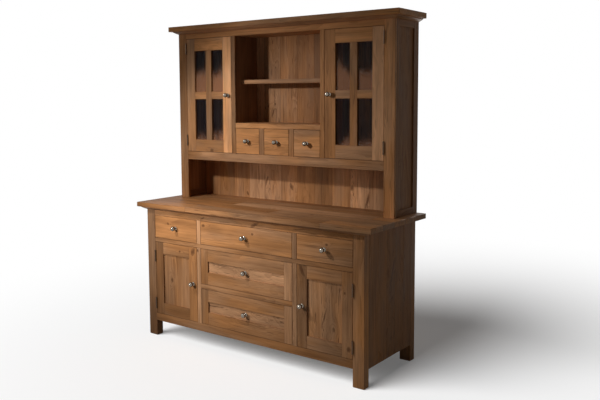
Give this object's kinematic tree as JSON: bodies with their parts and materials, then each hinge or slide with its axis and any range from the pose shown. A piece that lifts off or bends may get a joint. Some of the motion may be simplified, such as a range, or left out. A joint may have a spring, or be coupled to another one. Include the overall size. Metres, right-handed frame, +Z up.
{
  "type": "dresser with hutch",
  "caption": "Pine dresser: base with drawers and panelled doors, worktop, and a hutch with glazed doors, open shelf, niche and small drawers.",
  "frame": {"origin": "centre of the whole object's footprint, on the floor under the feet", "axes": "+X to the right seen from the front, the front faces -Y, +Z up"},
  "size_m": [1.81, 0.643, 2.074],
  "materials": {
    "pine": "waxed warm brown, satin",
    "pine_inside": "bare pine, matt",
    "nickel": "polished nickel",
    "dark_steel": "dark bronzed steel, satin",
    "glass": "clear"
  },
  "bodies": {
    "carcase": {"base_back": "pine_inside", "base_carcase_boards": "pine_inside", "base_drawer_runners": "pine_inside", "base_front_rails": "pine", "base_legs": "pine", "base_muntins": "pine", "base_shelves": "pine_inside", "base_side_planks": "pine", "cornice_board": "pine", "cornice_moulding": "pine", "door_catches": "dark_steel", "hinge_frame_leaves": "dark_steel", "hutch_back": "pine", "hutch_carcase_boards": "pine", "hutch_face_frame": "pine", "hutch_shelves": "pine", "hutch_side_frames": "pine", "hutch_side_panels": "pine", "worktop": "pine", "worktop_moulding": "pine"},
    "base_door_left": {"base_door_left_frame": "pine", "base_door_left_hinges": "dark_steel", "base_door_left_knob": "nickel", "base_door_left_panel": "pine"},
    "base_door_right": {"base_door_right_frame": "pine", "base_door_right_hinges": "dark_steel", "base_door_right_knob": "nickel", "base_door_right_panel": "pine"},
    "hutch_door_left": {"hutch_door_left_frame": "pine", "hutch_door_left_glass": "glass", "hutch_door_left_hinges": "dark_steel", "hutch_door_left_knob": "nickel"},
    "hutch_door_right": {"hutch_door_right_frame": "pine", "hutch_door_right_glass": "glass", "hutch_door_right_hinges": "dark_steel", "hutch_door_right_knob": "nickel"},
    "top_drawer_left": {"top_drawer_left_box": "pine_inside", "top_drawer_left_front": "pine", "top_drawer_left_knob": "nickel"},
    "top_drawer_centre": {"top_drawer_centre_box": "pine_inside", "top_drawer_centre_front": "pine", "top_drawer_centre_knob": "nickel"},
    "top_drawer_right": {"top_drawer_right_box": "pine_inside", "top_drawer_right_front": "pine", "top_drawer_right_knob": "nickel"},
    "deep_drawer_upper": {"deep_drawer_upper_box": "pine_inside", "deep_drawer_upper_front": "pine", "deep_drawer_upper_knob": "nickel"},
    "deep_drawer_lower": {"deep_drawer_lower_box": "pine_inside", "deep_drawer_lower_front": "pine", "deep_drawer_lower_knob": "nickel"},
    "small_drawer_left": {"small_drawer_left_box": "pine_inside", "small_drawer_left_front": "pine", "small_drawer_left_knob": "nickel"},
    "small_drawer_centre": {"small_drawer_centre_box": "pine_inside", "small_drawer_centre_front": "pine", "small_drawer_centre_knob": "nickel"},
    "small_drawer_right": {"small_drawer_right_box": "pine_inside", "small_drawer_right_front": "pine", "small_drawer_right_knob": "nickel"}
  },
  "joints": [
    {"name": "base_door_left_swing", "type": "hinge", "parent": "carcase", "child": "base_door_left", "pos_m": [-0.772, -0.2882, 0.3985], "axis": [0, 0, -1], "range_deg": [0, 170]},
    {"name": "base_door_right_swing", "type": "hinge", "parent": "carcase", "child": "base_door_right", "pos_m": [0.772, -0.2882, 0.3985], "axis": [0, 0, 1], "range_deg": [0, 170]},
    {"name": "hutch_door_left_swing", "type": "hinge", "parent": "carcase", "child": "hutch_door_left", "pos_m": [-0.774, 0.0348, 1.607], "axis": [0, 0, -1], "range_deg": [0, 170]},
    {"name": "hutch_door_right_swing", "type": "hinge", "parent": "carcase", "child": "hutch_door_right", "pos_m": [0.774, 0.0348, 1.607], "axis": [0, 0, 1], "range_deg": [0, 170]},
    {"name": "top_drawer_left_slide", "type": "slide", "parent": "carcase", "child": "top_drawer_left", "axis": [0, -1, 0], "range_m": [0, 0.38]},
    {"name": "top_drawer_centre_slide", "type": "slide", "parent": "carcase", "child": "top_drawer_centre", "axis": [0, -1, 0], "range_m": [0, 0.38]},
    {"name": "top_drawer_right_slide", "type": "slide", "parent": "carcase", "child": "top_drawer_right", "axis": [0, -1, 0], "range_m": [0, 0.38]},
    {"name": "deep_drawer_upper_slide", "type": "slide", "parent": "carcase", "child": "deep_drawer_upper", "axis": [0, -1, 0], "range_m": [0, 0.38]},
    {"name": "deep_drawer_lower_slide", "type": "slide", "parent": "carcase", "child": "deep_drawer_lower", "axis": [0, -1, 0], "range_m": [0, 0.38]},
    {"name": "small_drawer_left_slide", "type": "slide", "parent": "carcase", "child": "small_drawer_left", "axis": [0, -1, 0], "range_m": [0, 0.14]},
    {"name": "small_drawer_centre_slide", "type": "slide", "parent": "carcase", "child": "small_drawer_centre", "axis": [0, -1, 0], "range_m": [0, 0.14]},
    {"name": "small_drawer_right_slide", "type": "slide", "parent": "carcase", "child": "small_drawer_right", "axis": [0, -1, 0], "range_m": [0, 0.14]}
  ]
}
